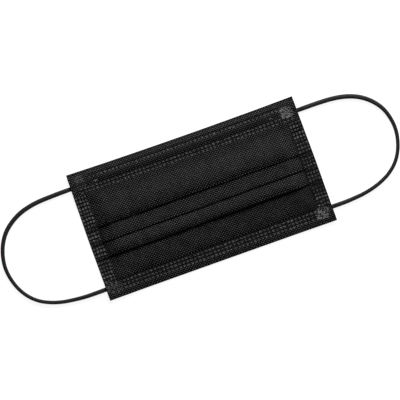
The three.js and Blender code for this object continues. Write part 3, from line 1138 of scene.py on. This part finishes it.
@dataclass
class EarLoop:
    """One round knitted elastic cord that lies on the surface between two corners. Millimetres."""

    name: str
    node: str
    route: Table
    diameter: float = 3.0
    spread: Table = ((0, 1.15), (0.33, 1.13), (0.45, 1.0), (0.8, 0.96), (1, 1.12))
    slack: Span = (0.9, 1.15)
    knit: Knit = Knit(wales=9, relief=0.07, wale_power=0.6, course_relief=0.35)
    twist: float = 60
    ring: int = 36
    step: float = 0.32
    flat_run: float = 5
    end_height: float = 1.7
    end_width: float = 3.3

    def centre_line(self) -> Array:
        """The route as a smooth line with even steps.

        Returns:
            Rows of x and y.
        """
        points = np.array(self.route)
        points = np.concatenate([[2 * points[0] - points[1]], points, [2 * points[-1] - points[-2]]])
        share = np.linspace(0, 1, 40, endpoint=False)[:, None]
        curves = [(2 * b + (c - a) * share + (2 * a - 5 * b + 4 * c - d) * share**2
                   + (3 * b - a - 3 * c + d) * share**3) / 2
                  for a, b, c, d in zip(points, points[1:], points[2:], points[3:])]
        line = np.concatenate([*curves, points[-2:-1]])
        run = run_along(line)
        even = np.linspace(0, run[-1], int(run[-1] / self.step) + 1)
        return np.stack([np.interp(even, run, values) for values in line.T], axis=1)

    def build(self) -> tuple[Object, Array]:
        """Make the cord.

        Returns:
            The new object, and its centre line as rows of x, y and z in millimetres.
        """
        line = self.centre_line()
        tangent = np.gradient(line, axis=0)
        tangent /= np.linalg.norm(tangent, axis=1, keepdims=True)
        run, radius = run_along(line)[:, None], self.diameter / 2
        round_share = ramp(np.minimum(run, run[-1] - run), 0, self.flat_run)
        wide = radius * smooth_table(run / run[-1], self.spread)
        half_width = self.end_width / 2 + (wide - self.end_width / 2) * round_share
        half_height = self.end_height / 2 + (radius - self.end_height / 2) * round_share
        angle = np.arange(self.ring) * TURN / self.ring
        wale = np.abs(np.sin(self.knit.wales * angle / 2 + TURN * run / self.twist))
        stitch, full = self.knit.read(wale, run)
        aside, up = half_width * full * np.cos(angle), half_height * (1 + full * np.sin(angle))
        ring = line[:, :1] - tangent[:, 1:] * aside, line[:, 1:] + tangent[:, :1] * aside, up
        made = knitted_tube(self.name, ring, (wale, stitch, ramp(wide / radius, *self.slack)))
        return made, np.hstack([line, half_height])


@dataclass
class LoopEnd:
    """The welded end of a cord: knit crushed flat under a corner of the cloth. Millimetres."""

    name: str
    node: str
    side: Side
    tip: float = 1.6
    neck: float = 3.3
    shoulder: float = 3.5
    overlap: float = 0.5
    heights: Table = ((0, 1.66), (2, 1.4), (5, 1.0), (9, 0.95))
    knit: Knit = Knit(wales=5, relief=0.12, wale_power=1, course_relief=0.8)
    slack: float = 0.5
    ring: int = 40
    step: float = 0.22

    def build(self) -> Object:
        """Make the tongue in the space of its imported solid.

        Returns:
            The new object.
        """
        low, high = (np.array(corner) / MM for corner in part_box(self.node))
        (reach, breadth, _), sign = high - low, self.side.value
        edge = high[0] if self.side is Side.RIGHT else low[0]
        into = np.append(np.arange(-self.overlap, reach, self.step), reach - 0.02)[:, None]
        neck = self.neck / 2
        widening = neck + (breadth / 2 - 0.05 - neck) * ramp(into, 0, self.shoulder)
        at_tip = np.clip((into - (reach - self.tip)) / self.tip, 0, 1)
        width = widening * np.sqrt(np.clip(1 - at_tip**2.4, 0.02, 1))
        height = smooth_table(np.maximum(into, 0), self.heights) * (1 - 0.4 * at_tip**2)
        angle = np.arange(self.ring) * TURN / self.ring
        aside, above = (np.sign(wave) * np.abs(wave) ** power
                        for wave, power in ((np.cos(angle), 0.75), (np.sin(angle), 0.6)))
        wale = np.abs(np.sin(math.pi / 2 * self.knit.wales * aside))
        stitch, full = self.knit.read(wale, into)
        middle = (low[1] + high[1]) / 2
        ring = edge - sign * into, middle + sign * width * aside, height / 2 * (1 + above * full)
        return knitted_tube(self.name, ring, (wale, stitch, self.slack))


# ---- Finishes ----


class Graph:
    """A material's nodes, added and joined with short calls."""

    def __init__(self, name: str) -> None:
        """Start a material with an empty node tree and one surface shader."""
        self.material = bpy.data.materials.new(name)
        self.material.use_nodes = True
        self.tree = self.material.node_tree
        self.tree.nodes.clear()
        self.shader = self.tree.nodes.new("ShaderNodeBsdfPrincipled")
        output = self.tree.nodes.new("ShaderNodeOutputMaterial")
        self.tree.links.new(self.shader.outputs[0], output.inputs["Surface"])

    def feed(self, socket: Socket, value: object) -> None:
        """Join a socket to another, or set its value."""
        if isinstance(value, Socket):
            self.tree.links.new(value, socket)
        else:
            socket.default_value = value

    def node(self, kind: str, inputs: dict[str | int, object], output: str | int = 0,
             **settings: object) -> Socket:
        """Add a node.

        Args:
            kind: Blender's name of the node, without what all shader nodes begin with.
            inputs: What each of its inputs is fed.
            output: Which output is wanted.
            settings: The node's other settings.

        Returns:
            The output.
        """
        node = self.tree.nodes.new("ShaderNode" + kind)
        for name, value in settings.items():
            setattr(node, name, value)
        for name, value in inputs.items():
            self.feed(node.inputs[name], value)
        return node.outputs[output]

    def math(self, operation: str, *values: object, clamp: bool = False) -> Socket:
        """Add a node of arithmetic."""
        return self.node("Math", dict(enumerate(values)), operation=operation, use_clamp=clamp)

    def times(self, a: object, b: object, clamp: bool = False) -> Socket:
        """Add a product."""
        return self.math("MULTIPLY", a, b, clamp=clamp)

    def scaled(self, a: object, b: object, more: object, clamp: bool = False) -> Socket:
        """Add a product and one more number."""
        return self.math("MULTIPLY_ADD", a, b, more, clamp=clamp)

    def layer(self, name: str, output: str) -> Socket:
        """Read a layer of the mesh."""
        return self.node("Attribute", {}, output, attribute_name=name)

    def place(self) -> Socket:
        """The place of a point in its object."""
        return self.node("TexCoord", {}, "Object")

    def parts(self, vector: Socket) -> tuple[Socket, ...]:
        """Split a vector into its three numbers."""
        return tuple(self.node("SeparateXYZ", {0: vector}).node.outputs)

    def stretched(self, vector: Socket, scale: tuple[float, ...], turn: float = 0) -> Socket:
        """Turn a vector about its third axis, in degrees, and scale it."""
        inputs = {"Vector": vector, "Rotation": (0, 0, math.radians(turn)), "Scale": scale}
        return self.node("Mapping", inputs, vector_type="TEXTURE")

    def noise(self, vector: Socket, scale: float, detail: float, rough: float, warp: float = 0) -> Socket:
        """Add a noise, whose value lies about 0.5."""
        names = "Vector", "Scale", "Detail", "Roughness", "Distortion"
        return self.node("TexNoise", dict(zip(names, (vector, scale, detail, rough, warp))))

    def spread(self, value: Socket, low: float, high: float, start: float = 0, end: float = 1) -> Socket:
        """Map a number from low..high to start..end, held at both ends."""
        inputs = {"Value": value, "From Min": low, "From Max": high, "To Min": start, "To Max": end}
        return self.node("MapRange", inputs, interpolation_type="SMOOTHSTEP")

    def shade(self, share: Socket, dark: Colour | Socket, light: Colour) -> Socket:
        """Mix two colours by a share."""
        under = dark if isinstance(dark, Socket) else (*dark, 1)
        return self.node("Mix", {0: share, 6: under, 7: (*light, 1)}, 2, data_type="RGBA", clamp_factor=True)

    def bump(self, height: Socket, depth: float, strength: float = 1, **below: Socket) -> Socket:
        """Add a bump of a depth in metres, over another one given as Normal."""
        return self.node("Bump", {"Strength": strength, "Distance": depth, "Height": height, **below})

    def settle(self, **settings: object) -> Material:
        """Set the shader's sockets by name, with _ for a space, and return the material."""
        for name, value in settings.items():
            self.feed(self.shader.inputs[name.replace("_", " ")], value)
        return self.material


@dataclass(frozen=True)
class ClothFinish:
    """Black spunbond cloth with a point emboss, melted smooth and paler where it is welded, partly as
    painted highlight.

    Its noise scales are for cloth measured in millimetres.
    """

    name: str
    valley: Colour = (0.0008, 0.0008, 0.0009)
    mound: Colour = (0.118, 0.1175, 0.118)
    # The colour of melted cloth, paler partly as painted highlight.
    fused: Colour = (0.136, 0.136, 0.137)
    cloud: float = 1.2
    roughness: float = 0.82
    dimple_roughness: float = 0.6
    fused_roughness: float = 0.42
    specular: float = 0.12
    sheen: float = 0.02
    sheen_roughness: float = 0.45
    cloud_scale: float = 0.16
    patch_scale: float = 0.6
    fibre_scale: float = 1.1
    fibre_shape: tuple[float, ...] = (1, 0.1, 1)
    fibre_turns: tuple[float, ...] = (8, 67, -52)
    fibre_depth: float = 0.00009
    mound_depth: float = 0.00026
    emboss: Emboss = Emboss()

    def make(self) -> Material:
        """Build the material.

        Returns:
            The new material, which reads the layers called fabric and fused.
        """
        graph = Graph(self.name)
        sum_of, times, scaled = graph.math, graph.times, graph.scaled
        fabric, fused = graph.layer("fabric", "Vector"), graph.layer("fused", "Fac")
        x, along, inner = graph.parts(fabric)
        # The third part is 0 outside and 1 inside, so the cut edge between them shows no emboss.
        on_face = graph.spread(sum_of("ABSOLUTE", scaled(inner, 2, -1)), 0.5, 0.95)
        # The mounds of the emboss, from 0 in a dimple to 1 on top.
        across = sum_of("COSINE", times(x, TURN / self.emboss.across))
        down = sum_of("COSINE", times(along, TURN / self.emboss.along))
        mound = scaled(times(across, down), 0.5, 0.5)
        # Three sets of long fibres cross, and the strongest one shows.
        fibres = [graph.noise(graph.stretched(fabric, self.fibre_shape, turn),
                              self.fibre_scale, 4, 0.62, 0.5)
                  for turn in self.fibre_turns]
        web = graph.spread(sum_of("MAXIMUM", sum_of("MAXIMUM", *fibres[:2]), fibres[2]), 0.48, 0.72)
        cloud = graph.noise(fabric, self.cloud_scale, 3, 0.6)
        patch = graph.noise(fabric, self.patch_scale, 2, 0.5)
        # The tops of the mounds are pale with their fibres, and the tone drifts in clouds and patches.
        peak = times(graph.spread(mound, 0.52, 1.0), on_face)
        tone = times(peak, scaled(web, 0.28, 0.82))
        drift = times(sum_of("SUBTRACT", patch, 0.5), 0.6)
        drift = sum_of("ADD", sum_of("SUBTRACT", cloud, 0.5), drift)
        tone = times(tone, scaled(drift, self.cloud, 1), clamp=True)
        # Where the layer fused lies below 0, shade is painted: the cloth is darker there.
        tone = times(tone, sum_of("ADD", fused, 1, clamp=True))
        # Where it lies above 0 the cloth is melted: paler, partly as painted highlight, smoother and with
        # little relief left.
        melted = times(fused, graph.spread(patch, 0.3, 0.7, 0.75, 1.1), clamp=True)
        colour = graph.shade(melted, graph.shade(tone, self.valley, self.mound), self.fused)
        roughness = scaled(mound, self.roughness - self.dimple_roughness, self.dimple_roughness)
        gloss = times(melted, self.roughness - self.fused_roughness)
        roughness = sum_of("SUBTRACT", roughness, gloss)
        firm = scaled(melted, -0.8, 1)
        normal = graph.bump(times(peak, firm), self.mound_depth)
        normal = graph.bump(times(web, firm), self.fibre_depth, 0.8, Normal=normal)
        return graph.settle(Base_Color=colour, Roughness=roughness, Normal=normal,
                            Specular_IOR_Level=self.specular, Sheen_Weight=self.sheen,
                            Sheen_Roughness=self.sheen_roughness)


@dataclass(frozen=True)
class KnitFinish:
    """Black polyester and spandex knit: dark between the wales as painted shade, pale crowns as painted
    highlight, a soft shine on the yarn.

    Its noise scales are for lengths in metres.
    """

    name: str
    groove: Colour = (0.004, 0.004, 0.0042)
    yarn: Colour = (0.0225, 0.0225, 0.0229)
    roughness: float = 0.72
    specular: float = 0.28
    sheen: float = 0.08
    sheen_roughness: float = 0.4
    strand_scale: float = 2600
    blotch_scale: float = 220
    yarn_depth: float = 0.00008

    def make(self) -> Material:
        """Build the material.

        Returns:
            The new material, which reads the layer called knit.
        """
        graph = Graph(self.name)
        sum_of, times, scaled = graph.math, graph.times, graph.scaled
        wale, course, slack = graph.parts(graph.layer("knit", "Vector"))
        place = graph.place()
        strands = graph.noise(place, self.strand_scale, 3, 0.6, 0.3)
        blotch = graph.noise(place, self.blotch_scale, 2, 0.5)
        # The crown of each stitch is pale, a painted highlight, and the grooves dark, a painted shade; fine
        # strands and soft blotches lie over it.
        crown = scaled(course, 0.45, times(wale, 0.55))
        tone = scaled(sum_of("SUBTRACT", strands, 0.5), 0.9, crown)
        tone = scaled(sum_of("SUBTRACT", blotch, 0.5), 0.6, tone, clamp=True)
        # The cord is paler where it is spread wider.
        tone = times(tone, scaled(slack, 0.45, 0.55))
        relief = graph.bump(scaled(strands, 0.5, crown), self.yarn_depth, 0.7)
        return graph.settle(Base_Color=graph.shade(tone, self.groove, self.yarn), Roughness=self.roughness,
                            Specular_IOR_Level=self.specular, Sheen_Weight=self.sheen,
                            Sheen_Roughness=self.sheen_roughness, Normal=relief)


@dataclass(frozen=True)
class WireFinish:
    """White polyolefin web over two steel wires, slightly scuffed."""

    name: str = "wire_web"
    plastic: Colour = (0.72, 0.73, 0.73)
    scuffed: Colour = (0.6, 0.6, 0.61)
    roughness: float = 0.45
    scuff_scale: float = 400
    scuff_shape: tuple[float, ...] = (1, 0.2, 0.2)
    scuff_depth: float = 0.00003

    def make(self) -> Material:
        """Build the material.

        Returns:
            The new material.
        """
        graph = Graph(self.name)
        scuff = graph.noise(graph.stretched(graph.place(), self.scuff_shape), self.scuff_scale, 3, 0.6)
        colour = graph.shade(graph.spread(scuff, 0.4, 0.7), self.plastic, self.scuffed)
        relief = graph.bump(scuff, self.scuff_depth, 0.4)
        return graph.settle(Base_Color=colour, Roughness=self.roughness, Normal=relief)


@dataclass(frozen=True)
class FloorFinish:
    """A plain pale matt surface, with a glow from below as on a lit table."""

    name: str = "pale_floor"
    tone: Colour = (0.25, 0.25, 0.25)
    roughness: float = 0.9
    specular: float = 0.1
    glow: float = 0.91

    def make(self) -> Material:
        """Build the material."""
        return Graph(self.name).settle(Base_Color=(*self.tone, 1), Roughness=self.roughness,
                                       Specular_IOR_Level=self.specular, Emission_Color=(1, 1, 1, 1),
                                       Emission_Strength=self.glow)


# ---- The studio ----


@dataclass(frozen=True)
class Lamp:
    """A soft square lamp aimed at the mask. Angles in degrees, lengths in metres, power in watts."""

    name: str
    azimuth: float
    elevation: float
    distance: float
    size: float
    power: float

    def hang(self) -> None:
        """Put the lamp in the scene."""
        data = bpy.data.lights.new(self.name, "AREA")
        data.energy, data.size = self.power, self.size
        turn, lift = math.radians(self.azimuth), math.radians(self.elevation)
        toward = Vector((math.cos(turn) * math.cos(lift), math.sin(turn) * math.cos(lift), math.sin(lift)))
        lamp = add_object(self.name, data)
        lamp.location = toward * self.distance
        lamp.rotation_euler = toward.to_track_quat("Z", "Y").to_euler()


@dataclass(frozen=True)
class Studio:
    """A plain pale floor, soft light from beyond the top edge, and a camera straight above. Metres."""

    camera_place: tuple[float, float, float] = (-0.00156, -0.00094, 1.0928)
    camera_roll: float = -19.5
    lens: float = 135
    clip: Span = (0.01, 50)
    floor_half: float = 4
    floor_gap: float = 0.0001
    world: Colour = (0.93, 0.96, 1.0)
    world_strength: float = 0.05
    lamps: tuple[Lamp, ...] = (
        Lamp("window_light", azimuth=60, elevation=35, distance=1.15, size=0.6, power=16.9),
        Lamp("ceiling_light", azimuth=70, elevation=80, distance=1.9, size=0.9, power=1.5),
    )

    def set_up(self) -> None:
        """Make the floor, the light and the camera."""
        scene = bpy.context.scene
        scene.view_settings.view_transform = "Standard"
        mesh = bpy.data.meshes.new("floor")
        corners = [(x * self.floor_half, y * self.floor_half, -self.floor_gap)
                   for x, y in ((-1, -1), (1, -1), (1, 1), (-1, 1))]
        mesh.from_pydata(corners, [], [(0, 1, 2, 3)])
        mesh.materials.append(FloorFinish().make())
        floor = add_object("floor", mesh)
        floor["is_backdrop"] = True
        scene.world = bpy.data.worlds.new("studio")
        scene.world.use_nodes = True
        background = scene.world.node_tree.nodes["Background"]
        background.inputs["Color"].default_value = (*self.world, 1)
        background.inputs["Strength"].default_value = self.world_strength
        for lamp in self.lamps:
            lamp.hang()
        data = bpy.data.cameras.new("camera")
        data.lens, (data.clip_start, data.clip_end) = self.lens, self.clip
        scene.camera = add_object("camera", data)
        scene.camera.location = self.camera_place
        scene.camera.rotation_euler = (0, 0, math.radians(self.camera_roll))


# ---- The mask ----


# Where each cord runs from its top corner to its bottom one: x and y from the middle of the mask.
LOOP_ROUTES: dict[Side, Table] = {
    Side.LEFT: (
        (-87.8, 37.8), (-94.1, 37.8), (-99.6, 37.7), (-105.6, 37.5), (-112.5, 37.1), (-119.8, 36.0),
        (-127.7, 33.8), (-135.3, 29.9), (-142.1, 24.3), (-147.1, 17.1), (-150.3, 8.8), (-151.6, 0),
        (-150.6, -8.8), (-147.8, -17.3), (-143.2, -24.8), (-136.8, -30.8), (-129.0, -34.9), (-121.0, -37.4),
        (-113.5, -38.6), (-106.6, -39.3), (-100.2, -39.6), (-94.4, -39.6), (-87.8, -39.6)),
    Side.RIGHT: (
        (87.0, 37.0), (94.0, 37.0), (99.4, 37.0), (105.4, 36.9), (112.2, 36.6), (119.5, 35.6),
        (127.4, 33.4), (134.9, 29.6), (141.4, 24.0), (146.3, 16.9), (149.0, 8.6), (149.8, 0), (148.4, -8.5),
        (145.2, -16.6), (140.3, -23.5), (133.7, -28.9), (126.3, -32.6), (118.8, -35.0), (111.9, -36.4),
        (105.4, -37.1), (99.6, -37.5), (94.1, -37.6), (87.8, -37.6)),
}


@dataclass
class FaceMask:
    """The whole mask: cloth, nose wire and ear loops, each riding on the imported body."""

    form: MaskForm
    panel_cloth: ClothFinish = ClothFinish("nonwoven_panel")
    # The top hem's copy of the cloth has paler mounds: painted light.
    nose_hem_cloth: ClothFinish = ClothFinish("nonwoven_nose_hem", mound=(0.132, 0.1315, 0.132))
    hem_cloth: ClothFinish = ClothFinish("nonwoven_hem")
    seam_cloth: ClothFinish = ClothFinish(
        "nonwoven_seam", mound=(0.055, 0.0548, 0.055), dimple_roughness=0.7)
    cord_knit: KnitFinish = KnitFinish("elastic_knit")
    end_knit: KnitFinish = KnitFinish("elastic_crushed", roughness=0.55)

    def build(self) -> None:
        """Make every piece: the cords with their ends, the cloth, then the nose wire."""
        self._cords()
        panel, *others = self._cloth()
        self._cloth_length() * MM
        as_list(others)
        self._bind(NoseWire(self.form).build(), "nose_wire", "wire", WireFinish().make())

    def _cloth_length(self) -> float:
        """Length of the panel's cloth before it is pleated."""
        seen = self.form.bottom_start - self.form.top_hem
        return seen + 2 * sum(pleat.tuck for pleat in self.form.pleats)

    def _bind(self, made: Object, node: str, slot: str, material: Material) -> None:
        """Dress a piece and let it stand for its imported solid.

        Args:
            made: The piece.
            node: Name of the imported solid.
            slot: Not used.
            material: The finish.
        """
        made.data.materials.append(material)
        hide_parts(node)
        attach(made, BODY)
        triangles = sum(len(face.vertices) - 2 for face in made.data.polygons)
        LOG.info("%s stands for %s with %d triangles", made.name, node, triangles)

    def _cloth(self) -> Iterable[Object]:
        """Make the panel, the hems and the side seams.

        Returns:
            Each piece in turn, the panel first.
        """
        form, panel, seam = self.form, self.panel_cloth.make(), self.seam_cloth.make()
        nose_hem, hem = self.nose_hem_cloth.make(), self.hem_cloth.make()
        left_faint = ((18.5, 3.5, 0.3), (32.7, 1.2, 0.4), (70, 14, 0.25))
        right_faint = ((32.7, 1.2, 0.4), (44, 12, 0.2), (67, 9, 0.4))
        plan: tuple[tuple[ClothPiece, str, Material], ...] = (
            (PleatedPanel(form), "nonwoven", panel),
            (Hem(form, "top_hem_cloth", "top_hem"), "nonwoven_hem", nose_hem),
            (Hem(form, "bottom_hem_cloth", "bottom_hem", edge=Edge.BOTTOM, edge_roll=1.0,
                 edge_roll_run=(0, 4)), "nonwoven_hem", hem),
            (SideSeam(form, "side_band_left", "side_seam_left", faint=left_faint), "welded_seam", seam),
            (SideSeam(form, "side_band_right", "side_seam_right", side=Side.RIGHT, faint=right_faint),
             "welded_seam", seam),
        )
        for piece, slot, material in plan:
            made = piece.build()
            self._bind(made, piece.node, slot, material)
            yield made

    def _cords(self) -> None:
        """Make the two ear loops and their four welded ends."""
        knit, crushed = self.cord_knit.make(), self.end_knit.make()
        for side in Side:
            word = side.name.lower()
            loop = EarLoop(f"ear_cord_{word}", f"ear_loop_{word}", LOOP_ROUTES[side])
            made, line = loop.build()
            self._bind(made, loop.node, "elastic", knit)
            float(run_along(line)[-1]) * MM
            for edge in Edge:
                end = LoopEnd(f"loop_end_{edge.value}_{word}", f"loop_weld_{edge.value}_{word}", side)
                self._bind(end.build(), end.node, "elastic_weld", crushed)


def main() -> None:
    """Load the frame, build the mask around it and light it."""
    logging.basicConfig(level=logging.INFO, format="%(name)s: %(message)s")
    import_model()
    packed_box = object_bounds()
    Studio().set_up()
    FaceMask(MaskForm.from_frame()).build()
    boxes = {"cad": packed_box, "visual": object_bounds()}
    plain = {name: [list(map(float, corner)) for corner in box] for name, box in boxes.items()}


if __name__ == "__main__":
    main()
